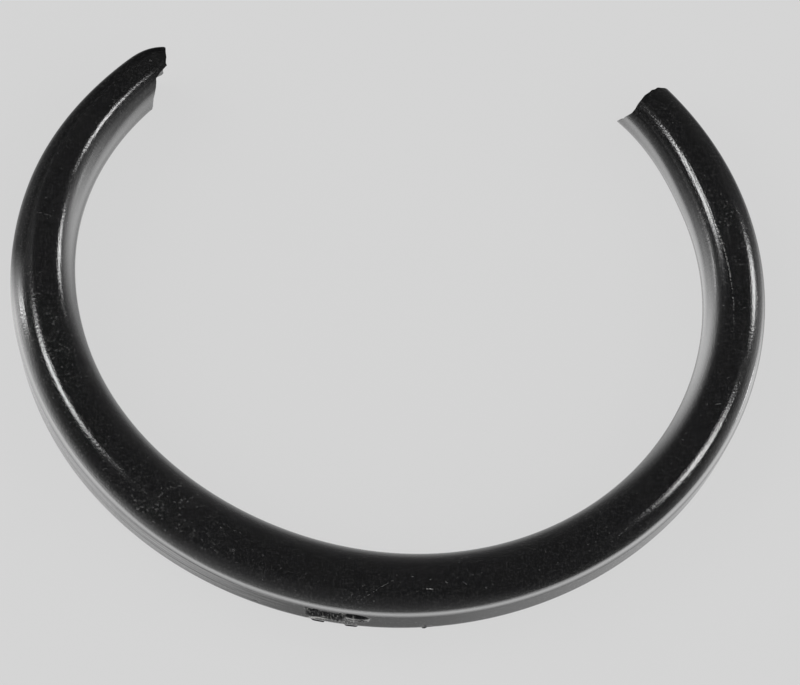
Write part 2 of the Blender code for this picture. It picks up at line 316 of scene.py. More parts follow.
def station_turns():
    """Turns of the stations, spaced so that equal counts stand under equal areas of a density."""
    fine = np.linspace(LEFT_BREAK_TURN, RIGHT_BREAK_TURN, TURN_SAMPLES)
    density = 1.0 + CHIPPED_FINENESS * bell(fine, CHIPPED_TURN, CHIPPED_SPREAD)
    for end in (LEFT_BREAK_TURN, RIGHT_BREAK_TURN):
        density += END_FINENESS * bell(fine, end, END_SPREAD)
    count = np.concatenate([[0.0], np.cumsum((density[1:] + density[:-1]) / 2)])
    return np.interp(np.linspace(0.0, count[-1], STATIONS), count, fine)


def end_columns(break_surface, start, around):
    """Turns at which the grid's columns meet a break, by going halfway to it again and again."""
    turns = np.full(around.shape, start)
    for _ in range(END_GUESSES):
        x, z = outline(around, turns)
        found = break_surface(x / band_width(turns), z / band_height(turns))
        turns = (turns + found) / 2
    return turns


around = np.concatenate([part + np.arange(count) / count for part, count in STEPS.items()])
plain_turns = station_turns()
near_left = 1.0 - smooth_step(plain_turns, LEFT_BREAK_TURN, LEFT_BREAK_TURN + END_WARP)
near_right = smooth_step(plain_turns, RIGHT_BREAK_TURN - END_WARP, RIGHT_BREAK_TURN)
left_turns = end_columns(left_break, LEFT_BREAK_TURN, around)
right_turns = end_columns(right_break, RIGHT_BREAK_TURN, around)
turns = (plain_turns[:, None] + near_left[:, None] * (left_turns - LEFT_BREAK_TURN)
         + near_right[:, None] * (right_turns - RIGHT_BREAK_TURN))
around_grid = np.broadcast_to(around, turns.shape)
band_x, band_z = outline(around_grid, turns)
smooth_points = on_band(turns, band_x, band_z)
closest = float(np.diff(plain_turns).min()) * OUTER_RADIUS / MM
print("grid:", turns.shape, "closest lines", round(closest, 3), "mm")

# %% [markdown]
# ## Chips in the outer wall
#
# Knocks on the near side have split flakes off the wall. A flake leaves a pocket with a ledge at its
# foot and a sharp rim all round. Seen from above, the ledge is what shows, and it is dark because it
# faces the dark ceiling. Where many small flakes went, the stone looks crumbled. Each pocket is a
# function of the place along the ring and the height on the wall, and the deepest one wins.

# %% How deep the stone is gone
POCKETS = (
    # turn in degrees, lower and upper height, half length, depth in mm, slope to the right
    (1.30, 2.55, 3.85, 1.46, 0.60, -0.12),
    (2.20, 2.16, 2.52, 0.80, 0.26, 0.18),
    (-1.30, 2.60, 3.50, 0.70, 0.42, 0.00),
    (-4.60, 2.20, 3.05, 0.95, 0.40, 0.20),
    (-2.90, 2.70, 3.62, 0.90, 0.45, 0.05),
    (12.10, 0.95, 1.45, 0.32, 0.18, 0.00),
    (-13.90, 1.40, 1.75, 0.20, 0.10, 0.00),
)
CRUMBS = 30
CRUMB_SEED = 12
CRUMBLED_TURNS = (-6.3, -0.4)
CRUMBLED_HEIGHTS = (1.55, 3.25)
CRUMB_HALF_LENGTH = (0.16, 0.55)
CRUMB_DEPTH = (0.10, 0.40)
CRUMB_TALL_FOR_DEPTH = 1.6
CRUMB_LEAST_TALL = 0.1
CRUMB_SLOPE = 0.3
POCKET_LEDGE = 0.26
LEAST_REACH = 0.05
WALL_MM_PER_DEGREE = 0.655
# The place around the outline where the chipped wall begins
CHIPPED_FROM = SHOULDER + 0.3


def between(limits, share):
    """The value at a share of the way from the first limit to the second."""
    return limits[0] + (limits[1] - limits[0]) * share


def crumbs():
    """Small pockets at random places in the crumbled patch, the large ones also the deeper ones."""
    share = np.random.default_rng(CRUMB_SEED).random((CRUMBS, 3))
    turn = between(CRUMBLED_TURNS, share[:, 0])
    low = between(CRUMBLED_HEIGHTS, share[:, 1])
    half_length = between(CRUMB_HALF_LENGTH, share[:, 2] ** 2)
    depth = between(CRUMB_DEPTH, share[:, 2])
    high = low + CRUMB_TALL_FOR_DEPTH * depth + CRUMB_LEAST_TALL
    slope = CRUMB_SLOPE * (share[:, 0] - 0.5)
    return np.stack([turn, low, high, half_length, depth, slope], axis=-1)


def pocket_opening(along, turn, low, high, half_length, slope):
    """How far a pocket opens, 1 in its middle and 0 at its ends as an ellipse does, and its middle line."""
    u = (along - turn * WALL_MM_PER_DEGREE) / half_length
    reach = np.sqrt(np.clip(1.0 - u * u, 0.0, None))
    return reach, (low + high) / 2 + slope * u * half_length


def pocket_depth(along, height):
    """Each pocket is full deep between its ledge and its top, and the deepest pocket counts."""
    depth = np.zeros(along.shape)
    for turn, low, high, half_length, deep, slope in np.concatenate([np.array(POCKETS), crumbs()]):
        reach, middle = pocket_opening(along, turn, low, high, half_length, slope)
        v = 0.5 + (height - middle) / ((high - low) * np.maximum(reach, LEAST_REACH))
        bowl = smooth_step(v, 0.0, POCKET_LEDGE) * smooth_step(v, 1.0, 1.0 - POCKET_LEDGE)
        depth = np.maximum(depth, deep * bowl * reach)
    return depth


along_mm = np.degrees(turns) * WALL_MM_PER_DEGREE
height_mm = band_z / MM
on_wall = ((around_grid > CHIPPED_FROM) & (around_grid < BASE)).astype(float)
gone = on_wall * pocket_depth(along_mm, height_mm)
print("deepest chip:", round(float(gone.max()), 2), "mm")

# %% [markdown]
# At the foot of the wall three slivers still stand out where the heel around them was rubbed round.
# They are the one place where the stone reaches further out than the plain outline does.

# %% Slivers at the foot, and the grid moved by both
SLIVERS = (
    # first and last turn in degrees, share of the run that ramps up at the left and at the right
    (-6.8, -2.8, 0.48, 0.16),
    (-1.2, 2.7, 0.34, 0.30),
    (11.0, 13.0, 0.40, 0.40),
)
SLIVER_REACH = 1.02
SLIVER_HEIGHTS = (0.02, 0.34)
HEEL_SIZE = HEEL_RADIUS / MM


def sliver_push(along, height):
    """How far the heel goes out at a sliver: the sliver's reach less that of the heel's own arc."""
    heel = np.sqrt(np.clip(2.0 * HEEL_SIZE * height - height * height, 0.0, None))
    push = np.zeros(along.shape)
    for first, last, ramp_left, ramp_right in SLIVERS:
        run = (along / WALL_MM_PER_DEGREE - first) / (last - first)
        reach = smooth_step(run, 0.0, ramp_left) * smooth_step(run, 1.0, 1.0 - ramp_right)
        inside = (height > SLIVER_HEIGHTS[0]) & (height < SLIVER_HEIGHTS[1])
        push = np.maximum(push, reach * inside * np.clip(SLIVER_REACH - heel, 0.0, None))
    return push


sliver = ((around_grid > HEEL) & (around_grid < BASE)) * sliver_push(along_mm, height_mm)
points = on_band(turns, band_x + (sliver - gone) * MM, band_z)
print("slivers stand out by", round(float(sliver.max()), 2), "mm")

# %% [markdown]
# ## Closing the ends
#
# Each end is closed by smaller and smaller copies of its own outline, all lying on the break's
# surface. Rings near the rim stand closest, because that is where the light catches the edge. The
# last ring is closed with a fan of triangles to one middle point.

# %% The caps, on the break's own surface
CAP_RINGS = 26
CAP_CROWDING = 1.6


def cap_points(break_surface, end_turns):
    """Points of the rings from the rim inwards and the middle point, all as arrays."""
    x, z = outline(around, end_turns)
    share = 1.0 - (np.arange(1, CAP_RINGS + 1) / (CAP_RINGS + 1)) ** CAP_CROWDING
    share = np.append(share, 0.0)[:, None]
    across = 0.5 + (x / band_width(end_turns) - 0.5) * share
    up = 0.5 + (z / band_height(end_turns) - 0.5) * share
    turn = break_surface(across, up)
    rings = on_band(turn, across * band_width(turn), up * band_height(turn))
    return rings[:-1], rings[-1, :1]


left_rings, left_middle = cap_points(left_break, left_turns)
right_rings, right_middle = cap_points(right_break, right_turns)
print("caps:", left_rings.shape, right_rings.shape)

# %% [markdown]
# ## One mesh out of grid and caps
#
# The corner numbers of every face come from plain index arithmetic on whole arrays, so the mesh is
# made in a blink. Faces that were split off lose their smooth neighbours at the rim: edges sharper
# than a set angle are marked sharp, and everything else is shaded smooth.

# %% Join grid and caps into one closed mesh
SHARP_ANGLE = np.radians(40.0)


def strip_faces(first_row, second_row, flip):
    """Quads between two closed rows of vertex numbers."""
    ahead_first, ahead_second = np.roll(first_row, -1), np.roll(second_row, -1)
    quads = np.stack([first_row, ahead_first, ahead_second, second_row], axis=-1)
    return quads[:, ::-1] if flip else quads


def cap_faces(rim, start, flip):
    """Quads from the rim inwards, ring by ring, and triangles to the middle point."""
    count = rim.size
    rows = [rim] + [start + ring * count + np.arange(count) for ring in range(CAP_RINGS)]
    quads = [strip_faces(a, b, flip) for a, b in zip(rows[:-1], rows[1:])]
    middle = np.full(count, start + CAP_RINGS * count)
    last, ahead = rows[-1], np.roll(rows[-1], -1)
    fan = np.stack([last, ahead, middle], axis=-1)
    return np.concatenate(quads), fan[:, ::-1] if flip else fan


columns = around.size
cap_count = CAP_RINGS * columns + 1
numbers = np.arange(STATIONS * columns).reshape(STATIONS, columns)
ahead = np.roll(numbers, -1, axis=1)
body_quads = np.stack([numbers[:-1], ahead[:-1], ahead[1:], numbers[1:]], axis=-1).reshape(-1, 4)
left_start = STATIONS * columns
right_start = left_start + cap_count
left_quads, left_fan = cap_faces(numbers[0], left_start, True)
right_quads, right_fan = cap_faces(numbers[-1], right_start, False)
all_points = np.concatenate([points.reshape(-1, 3), left_rings.reshape(-1, 3), left_middle,
                             right_rings.reshape(-1, 3), right_middle])
print(len(all_points), "points,", len(body_quads) + len(left_quads) + len(right_quads), "quads")

# %% Build the mesh, centred as the solid model is
faces = [body_quads, left_quads, right_quads, left_fan, right_fan]
middle = (smooth_points.reshape(-1, 3).min(axis=0) + smooth_points.reshape(-1, 3).max(axis=0)) / 2
shift = np.array([-middle[0], -middle[1], 0.0])
mesh = bpy.data.meshes.new("polished_bangle")
mesh.from_pydata((all_points + shift).tolist(), [], [face for part in faces for face in part.tolist()])
mesh.validate()
mesh.shade_smooth()
mesh.set_sharp_from_angle(angle=SHARP_ANGLE)
bangle = bpy.data.objects.new("polished_bangle", mesh)
bpy.context.scene.collection.objects.link(bangle)
print("triangles:", sum(len(face.vertices) - 2 for face in mesh.polygons),
      "moved by", np.round(shift / MM, 2), "mm")

# %% [markdown]
# ## What the material needs to know
#
# A few numbers travel with every point: where the polish was worn and a sheen is painted on the
# shoulder, where it was never brought up, where the top is pitted and the wall lined, where the stone is
# broken, where it was crushed to pale powder and where a reflection is painted pale, and how far a point
# is from a painted highlight line along the crest. Each of them is again a function of the turn and the
# place around.

# %% Where the polish is worn or dull, and where a sheen is painted on the shoulder
# The shoulder's pale band is partly worn polish and partly a painted sheen that adds to its reflection
WEAR_AND_SHEEN_MIDDLE = 0.30
WEAR_AND_SHEEN_SPREAD = 0.26
WEAR_AND_SHEEN_TO = np.radians(54.0)
WEAR_AND_SHEEN_FADE = np.radians(16.0)
# Each dull stretch: the turn where it begins, the turn where it is full, and how dull it is there
DULL_LEFT = (np.radians(-75.0), np.radians(-122.0), 0.86)
DULL_RIGHT = (np.radians(66.0), np.radians(128.0), 0.92)
DULL_OUTSIDE = (np.radians(-74.0), np.radians(-88.0), 0.92)
DULL_OUTSIDE_PLACES = (0.2, 0.6)
# Slopes in degrees where the inner side turns dull and shines again, the first two lower at the left
DULL_SLOPES = (12.0, 42.0)
DULL_LOWER_AT_LEFT = (12.0, 8.0)
DULL_UNDER = (72.0, 60.0)


def worn_and_painted_sheen(turn, place):
    """A bell curve over the shoulder that fades out towards the ends: wear and a painted sheen."""
    shoulder = bell(place - SHOULDER, WEAR_AND_SHEEN_MIDDLE, WEAR_AND_SHEEN_SPREAD)
    return shoulder * (1.0 - smooth_step(np.abs(turn), WEAR_AND_SHEEN_TO - WEAR_AND_SHEEN_FADE, WEAR_AND_SHEEN_TO + WEAR_AND_SHEEN_FADE))


def dull_stretch(turn, begin, full, level):
    """A smooth step in turn, up to the level of the stretch."""
    return level * smooth_step(turn, begin, full)


def dulled(turn, place, x, z):
    """Where the inner side faces up more than sideways, more so towards both ends.

    The slope is the angle of the surface's normal above level, from the steps along the outline.
    Near the left end the top's outer part is dull as well.
    """
    slope = np.degrees(np.arctan2(np.gradient(x, axis=1), np.gradient(z, axis=1)))
    left = dull_stretch(turn, *DULL_LEFT)
    right = dull_stretch(turn, *DULL_RIGHT)
    start = DULL_SLOPES[0] - DULL_LOWER_AT_LEFT[0] * left
    end = DULL_SLOPES[1] - DULL_LOWER_AT_LEFT[1] * left
    band = smooth_step(slope, start, end) * smooth_step(slope, *DULL_UNDER)
    outside = dull_stretch(turn, *DULL_OUTSIDE) * smooth_step(place, *DULL_OUTSIDE_PLACES)
    return np.where(place >= INNER, (left + right) * band, outside * (place < HEEL))


worn_and_painted_sheen_points = worn_and_painted_sheen(turns, around_grid)
dull_points = dulled(turns, around_grid, band_x, band_z)
print("worn:", int((worn_and_painted_sheen_points > 0.5).sum()), "points, dull:", int((dull_points > 0.5).sum()))

# %% Where the stone is broken, and the first numbers written to the points
DULL_CHIP = 0.94
DULL_BREAK = 0.30
BROKEN_FROM = (0.015, 0.05)
ROUGH_FROM = (0.01, 0.05)
# Soft edges of the crumbled patch: left and right in degrees, foot and top in mm
CRUMBLED_EDGES = ((-6.6, -6.0), (0.2, -0.6), (1.5, 1.8), (3.7, 3.5))


def soft_patch(turn, height, left, right, foot, top):
    """A patch of the wall that fades at its edges: a product of four smooth steps."""
    return (smooth_step(turn, *left) * smooth_step(turn, *right)
            * (smooth_step(height, *foot) * smooth_step(height, *top)))


def store(name, body_values, cap_value):
    """Writes one number per point, with one value for both caps."""
    values = np.concatenate([body_values.ravel(), np.full(2 * cap_count, cap_value)])
    layer = mesh.attributes.new(name, "FLOAT", "POINT")
    layer.data.foreach_set("value", values.astype(np.float32))


degrees_along = np.degrees(turns)
chipped = smooth_step(gone, *BROKEN_FROM)
beside_sliver = np.maximum(np.roll(sliver, 1, axis=1), np.roll(sliver, -1, axis=1))
rough_sliver = smooth_step(np.maximum(sliver, beside_sliver), *ROUGH_FROM)
fresh = np.maximum(chipped, on_wall * soft_patch(degrees_along, height_mm, *CRUMBLED_EDGES))
store("worn_and_painted_sheen", worn_and_painted_sheen_points * (1.0 - chipped), 0.0)
store("dulled", np.maximum(dull_points, np.maximum(DULL_CHIP * fresh, rough_sliver)), DULL_BREAK)
store("fresh", np.maximum(fresh, rough_sliver), 1.0)
print("broken points:", int((fresh > 0.5).sum()), "of", fresh.size)

# %% Pitted stretches of the top, and rubbing lines left in the wall
# Middle and spread of each pitted stretch in degrees, and the shares of the height where it starts
PITTED = ((-70.0, 11.0), (-30.0, 11.0), (110.0, 9.0))
PITTED_HEIGHTS = (0.80, 0.92)
# Soft ends of the lined stretch in degrees, and where it starts around the band
LINED_LEFT = (-64.0, -52.0)
LINED_RIGHT = (-4.0, -16.0)
LINED_FROM = SHOULDER + 0.7

pitted = sum(bell(degrees_along, middle, spread) for middle, spread in PITTED)
pitted = pitted * smooth_step(band_z / band_height(turns), *PITTED_HEIGHTS)
lined = smooth_step(degrees_along, *LINED_LEFT) * smooth_step(degrees_along, *LINED_RIGHT)
store("pitted", pitted, 0.0)
store("lined", lined * (around_grid > LINED_FROM) * (around_grid < BASE), 0.0)
print("pitted points:", int((pitted > 0.5).sum()))

# %% Crushed stone, and a painted reflection and highlight in the chipped wall
# A crescent of painted reflection, where a chip scar mirrors the bright floor: turn of its highest
# point, height there, fall to the left and to the right, soft ends
CRESCENT_TURN = -3.8
CRESCENT_HEIGHT = 1.70
CRESCENT_BEND = (0.17, 0.064)
CRESCENT_LEFT = (-6.6, -5.6)
CRESCENT_RIGHT = (-2.7, -3.7)
CRESCENT_HALF = 0.15
CRESCENT_FADE = 0.06
# The pale rim, a painted highlight over a crushed edge, lies this far below the first pocket's edge,
# in mm, and ends where the pocket narrows
RIM_ABOVE = (-0.05, 0.0)
RIM_BELOW = (0.17, 0.10)
RIM_LEAST_REACH = 0.25
# The flaked patch: soft edges as above, the sizes of specks and flakes in mm, and their levels
FLAKED_EDGES = ((-6.5, -6.0), (2.4, 1.8), (0.9, 1.3), (3.6, 3.3))
SPECK_LENGTH = 0.30
SPECK_LEVELS = (1.75, 2.05)
FLAKE_LENGTH = 0.42
FLAKE_FLATNESS = 1.8
FLAKE_RIM = (0.26, 0.08)
FLAKE_GROUP_LENGTH = 2.0 * FLAKE_LENGTH
FLAKE_GROUP_LEVELS = (-0.1, 0.5)
SPECK_SEED, FLAKE_SEED, FLAKE_GROUP_SEED = 5, 9, 11
# How pale each of them is
PALE_CRESCENT, PALE_RIM, PALE_SPECKS, PALE_FLAKES = 0.80, 0.50, 0.60, 0.85


def crescent(turn, height):
    """A line of one width that falls with the square of the way from its highest turn."""
    bend = np.where(turn < CRESCENT_TURN, *CRESCENT_BEND)
    middle = CRESCENT_HEIGHT - bend * (turn - CRESCENT_TURN) ** 2
    ends = smooth_step(turn, *CRESCENT_LEFT) * smooth_step(turn, *CRESCENT_RIGHT)
    inner, outer = CRESCENT_HALF - CRESCENT_FADE, CRESCENT_HALF + CRESCENT_FADE
    return ends * smooth_step(np.abs(height - middle), outer, inner)


def pocket_rim(along, height):
    """A thin line along the lower edge of the first pocket: a painted highlight on a crushed edge."""
    turn, low, high, half_length, _, slope = POCKETS[0]
    reach, middle = pocket_opening(along, turn, low, high, half_length, slope)
    under = middle - (high - low) / 2 * reach - height
    return (reach > RIM_LEAST_REACH) * smooth_step(under, *RIM_ABOVE) * smooth_step(under, *RIM_BELOW)


def crushed_and_painted_reflection(along, height):
    """The palest of crescent, pocket rim, specks and flake rims, each times its own paleness.

    Specks are the crests of a waviness. A flake's rim is where another one, stretched along the
    band, passes through zero. The crescent is a painted reflection and the pocket rim a painted
    highlight over a crushed edge.
    """
    turn = along / WALL_MM_PER_DEGREE
    patch = soft_patch(turn, height, *FLAKED_EDGES)
    specks = patch * smooth_step(waviness(along, height, SPECK_LENGTH, SPECK_SEED), *SPECK_LEVELS)
    flakes = np.abs(waviness(along, FLAKE_FLATNESS * height, FLAKE_LENGTH, FLAKE_SEED))
    groups = waviness(along, height, FLAKE_GROUP_LENGTH, FLAKE_GROUP_SEED)
    rims = patch * smooth_step(flakes, *FLAKE_RIM) * smooth_step(groups, *FLAKE_GROUP_LEVELS)
    lines = np.maximum(PALE_CRESCENT * crescent(turn, height), PALE_RIM * pocket_rim(along, height))
    return np.maximum(lines, np.maximum(PALE_SPECKS * specks, PALE_FLAKES * rims))


# Crushed stone, with the crescent and the pocket rim painted pale as reflection and highlight
crushed_and_reflection_points = on_wall * crushed_and_painted_reflection(along_mm, height_mm)
store("crushed_and_painted_reflection", crushed_and_reflection_points, 0.0)
print("crushed points:", int((crushed_and_reflection_points > 0.5).sum()))

# %% A painted highlight line along the crest of the top
# A pale line is painted where the crest catches the light: a painted highlight.
# It crosses this turn at x in mm from the inner side, and moves by the slope in mm for each degree
CREST_HIGHLIGHT_TURN = np.radians(111.2)
CREST_HIGHLIGHT_X = 2.22
CREST_HIGHLIGHT_SLOPE = -0.0427
CREST_HIGHLIGHT_NEAR = 0.7
CREST_HIGHLIGHT_ABOVE = 0.8
CREST_HIGHLIGHT_LEFT = (np.radians(84.0), np.radians(110.0))
CREST_HIGHLIGHT_RIGHT = (np.radians(113.0), np.radians(110.0))
FAR_AWAY = 9.0

crest_highlight_x = CREST_HIGHLIGHT_X + CREST_HIGHLIGHT_SLOPE * np.degrees(turns - CREST_HIGHLIGHT_TURN)
by_crest_highlight = (band_z > CREST_HIGHLIGHT_ABOVE * band_height(turns)) & (np.abs(turns - CREST_HIGHLIGHT_TURN) < CREST_HIGHLIGHT_NEAR)
store("painted_highlight_distance", np.where(by_crest_highlight, band_x / MM - crest_highlight_x, FAR_AWAY), FAR_AWAY)
store("painted_highlight_share", smooth_step(turns, *CREST_HIGHLIGHT_LEFT) * smooth_step(turns, *CREST_HIGHLIGHT_RIGHT), 0.0)
print("points by the scratch:", int(by_crest_highlight.sum()))

# %% A UV map in millimetres along the ring and around the outline
# The radius in mm at which lengths along the ring are measured
REFERENCE_RADIUS = 34.0

steps_around = np.linalg.norm(np.diff(smooth_points, axis=1), axis=-1)
around_mm = np.concatenate([np.zeros((STATIONS, 1)), np.cumsum(steps_around, axis=1)], axis=1) / MM
around_end = np.linalg.norm(smooth_points[:, 0] - smooth_points[:, -1], axis=-1) / MM
body_uv = np.stack([turns * REFERENCE_RADIUS, around_mm], axis=-1)
corner_uv = np.stack([
    body_uv[:-1], np.roll(body_uv[:-1], -1, axis=1), np.roll(body_uv[1:], -1, axis=1), body_uv[1:],
], axis=2)
corner_uv[:, -1, 1, 1] = around_mm[:-1, -1] + around_end[:-1]
corner_uv[:, -1, 2, 1] = around_mm[1:, -1] + around_end[1:]
cap_corners = len(mesh.loops) - corner_uv.size // 2
corner_points = np.empty(len(mesh.loops), dtype=np.int32)
mesh.loops.foreach_get("vertex_index", corner_points)
cap_uv = (all_points[corner_points[-cap_corners:]] / MM)[:, [0, 2]]
uv = mesh.uv_layers.new(name="along_and_around")
uv.data.foreach_set("uv", np.concatenate([corner_uv.reshape(-1, 2), cap_uv]).ravel().astype(np.float32))
print("around the band:", round(float(around_mm[STATIONS // 2, -1]), 1), "mm; UV corners", len(uv.data))

# %% [markdown]
# ## Polished black stone
#
# The stone is nearly black all through, so almost all the light that comes back is a reflection at
# its surface. A stone rubbed with ever finer grit keeps hair lines along the rubbing and small pits
# where grains fell out. Broken faces are duller because they were never rubbed, and the inner side
# was rubbed less than the outer one, because no tool fits well inside a ring.

# %% A small helper for nodes, and colours from hex
def hex_colour(code):
    """Turns an sRGB hex colour into the linear values that a shader takes."""
    value = np.array([int(code[k:k + 2], 16) for k in (1, 3, 5)]) / 255.0
    linear = np.where(value <= 0.04045, value / 12.92, ((value + 0.055) / 1.055) ** 2.4)
    return (*linear.tolist(), 1.0)


def add_node(tree, kind, settings=None, inputs=None):
    """Adds a node, sets its properties, and gives each input a value or links a socket to it."""
    node = tree.nodes.new(kind)
    for name, value in (settings or {}).items():
        setattr(node, name, value)
    for name, value in (inputs or {}).items():
        if isinstance(value, bpy.types.NodeSocket):
            tree.links.new(value, node.inputs[name])
        else:
            node.inputs[name].default_value = value
    return node


print("mid grey in linear values:", round(hex_colour("#808080")[0], 3))

# %% The stone's tree, its coordinates and its attributes
stone = bpy.data.materials.new("polished_black_stone")
stone.use_nodes = True
tree = stone.node_tree
tree.nodes.clear()
place = add_node(tree, "ShaderNodeTexCoord").outputs["Object"]
along_around = add_node(tree, "ShaderNodeUVMap", {"uv_map": "along_and_around"}).outputs["UV"]
carried = {}
for name in ("worn_and_painted_sheen", "dulled", "fresh", "pitted", "lined", "crushed_and_painted_reflection", "painted_highlight_distance", "painted_highlight_share"):
    carried[name] = add_node(tree, "ShaderNodeAttribute", {"attribute_name": name}).outputs["Fac"]
print("attributes in the material:", ", ".join(carried))

# %% [markdown]
# Scratches and nicks are told apart from the polish one by one: each mark is a long, thin ellipse laid
# on the top. A mapping node moves, turns and squeezes the coordinates so that the ellipse becomes a
# circle of radius 1, and the distance from its middle says whether a point lies in the mark.

# %% Marks on the top
MARKS = (
    # first turn and radius, last turn and radius, width in mm, brightness
    (1.1, 37.0, 8.2, 33.8, 0.11, 0.30),
    (-1.2, 37.4, 3.3, 34.4, 0.10, 0.22),
    (0.2, 36.9, 5.4, 34.6, 0.07, 0.16),
    (11.6, 35.3, 13.5, 35.4, 0.16, 1.00),
    (17.7, 34.6, 18.6, 35.4, 0.10, 0.40),
    (7.0, 33.8, 7.3, 33.8, 0.15, 0.35),
    (9.8, 33.9, 10.1, 33.9, 0.15, 0.35),
    (12.8, 34.3, 13.1, 34.3, 0.20, 0.60),
    (15.5, 34.3, 15.7, 34.3, 0.15, 0.35),
    (15.3, 34.8, 15.5, 34.8, 0.15, 0.35),
    (75.9, 35.5, 72.5, 36.4, 0.11, 0.40),
    (75.0, 34.6, 75.6, 35.1, 0.20, 0.60),
    (81.3, 35.0, 76.2, 35.6, 0.08, 0.25),
    (44.4, 36.0, 47.3, 35.8, 0.12, 0.28),
    (-94.0, 36.3, -93.8, 34.2, 0.09, 0.35),
    (-129.9, 35.0, -129.5, 35.2, 0.22, 0.35),
    (133.6, 34.2, 133.9, 34.3, 0.24, 0.50),
)
MARK_HEIGHT = 5.0 * MM
MARK_HALF_HEIGHT = 3.0 * MM
MARK_CORE = 0.6

marks = 0.0
for first_turn, first_radius, last_turn, last_radius, width, bright in MARKS:
    turn_pair = np.radians([first_turn, last_turn])
    radius_pair = np.array([first_radius, last_radius]) * MM
    ends = np.stack([radius_pair * np.sin(turn_pair), -radius_pair * np.cos(turn_pair)], axis=-1)
    run = ends[1] - ends[0]
    centre = ends.mean(axis=0) + shift[:2]
    laid = add_node(tree, "ShaderNodeMapping", {"vector_type": "TEXTURE"}, {
        "Vector": place, "Location": (*centre, MARK_HEIGHT),
        "Rotation": (0.0, 0.0, np.arctan2(run[1], run[0])),
        "Scale": (np.hypot(*run) / 2 + width * MM / 2, width * MM / 2, MARK_HALF_HEIGHT)})
    away = add_node(tree, "ShaderNodeVectorMath", {"operation": "LENGTH"}, {0: laid.outputs["Vector"]})
    mark = add_node(tree, "ShaderNodeMapRange", {}, {
        "Value": away.outputs["Value"], "From Min": 1.0, "From Max": MARK_CORE, "To Max": bright})
    marks = add_node(tree, "ShaderNodeMath", {"operation": "MAXIMUM"}, {
        0: marks, 1: mark.outputs["Result"]}).outputs["Value"]
print(len(MARKS), "marks laid on the top")

# %% The patterns of the surface
BAND_PATTERNS = (
    # name, waves per mm along the band and around it, detail
    ("hair_lines", 0.16, 8.0, 2.0),
    ("rubbing_lines", 5.0, 0.3, 3.0),
    ("wall_lines", 0.05, 2.4, 3.0),
)
GRAIN_PATTERNS = (
    # name, grains per mm every way, detail
    ("pits", 5.0, 2.0),
    ("pale_grains", 3.6, 3.0),
    ("patches", 0.9, 2.0),
    ("broken_grain", 2.6, 5.0),
    ("clouds", 0.33, 3.0),
)
# Hair lines of the polish run along the band, 0.12 mm apart and 6 mm long, and the rubbing lines of
# the dull inner side run across it, 0.2 mm apart. Lines along the wall are 0.4 mm apart and 20 mm
# long. Pits where grains fell out are 0.2 mm apart, single pale grains 0.28 mm, patches of them 1 mm,
# the grain of a broken face 0.4 mm, and clouds in the black are 3 mm across.
pattern = {}
for name, along_scale, around_scale, detail in BAND_PATTERNS:
    laid = add_node(tree, "ShaderNodeMapping", {"vector_type": "POINT"}, {
        "Vector": along_around, "Scale": (along_scale, around_scale, 1.0)})
    pattern[name] = add_node(tree, "ShaderNodeTexNoise", {}, {
        "Vector": laid.outputs["Vector"], "Scale": 1.0, "Detail": detail}).outputs["Fac"]
for name, grain_scale, detail in GRAIN_PATTERNS:
    pattern[name] = add_node(tree, "ShaderNodeTexNoise", {}, {
        "Vector": place, "Scale": grain_scale / MM, "Detail": detail}).outputs["Fac"]
print("patterns:", ", ".join(pattern))

# %% The painted highlight along the crest, pale grains, and grime in the wall's lines
near_painted_highlight = add_node(tree, "ShaderNodeMath", {"operation": "ABSOLUTE"}, {0: carried["painted_highlight_distance"]})
painted_crest_highlight = add_node(tree, "ShaderNodeMapRange", {}, {
    "Value": near_painted_highlight.outputs["Value"], "From Min": 0.10, "From Max": 0.03,
    "To Max": carried["painted_highlight_share"]})
# In the patches of a pitted stretch more of the grains turn pale
in_patch = add_node(tree, "ShaderNodeMapRange", {}, {
    "Value": pattern["patches"], "From Min": 0.47, "From Max": 0.62, "To Max": carried["pitted"]})
grain_level = add_node(tree, "ShaderNodeMapRange", {}, {
    "Value": in_patch.outputs["Result"], "To Min": 0.655, "To Max": 0.46})
grains = add_node(tree, "ShaderNodeMapRange", {}, {
    "Value": pattern["pale_grains"], "From Min": grain_level.outputs["Result"], "From Max": 0.78,
    "To Max": 0.26})
# Fine grain everywhere, just lighter than the black
haze = add_node(tree, "ShaderNodeMapRange", {}, {
    "Value": pattern["pits"], "From Min": 0.50, "From Max": 0.72, "To Max": 0.07})
grime_lines = add_node(tree, "ShaderNodeMapRange", {}, {
    "Value": pattern["wall_lines"], "From Min": 0.48, "From Max": 0.60, "To Max": 0.60})
wall_grime = add_node(tree, "ShaderNodeMath", {"operation": "MULTIPLY"}, {
    0: grime_lines.outputs["Result"], 1: carried["lined"]})
print("nodes so far:", len(tree.nodes))

# %% Colours
STONE_BLACK = "#020203"
STONE_MOTTLE = "#060606"
# Grey of worn polish, also a painted sheen that brightens the near shoulder's reflection
STONE_WEAR_AND_PAINTED_SHEEN = "#1a1a1a"
STONE_BROKEN = "#0e0e0f"
# Grey of scratches and grains, also used for the painted highlight along the crest
STONE_MARKS_AND_HIGHLIGHT = "#6c6c6b"
# Pale grey of crushed stone, also used for the painted reflection of the crescent and pocket rim
STONE_CRUSHED_AND_REFLECTION = "#6a6a68"

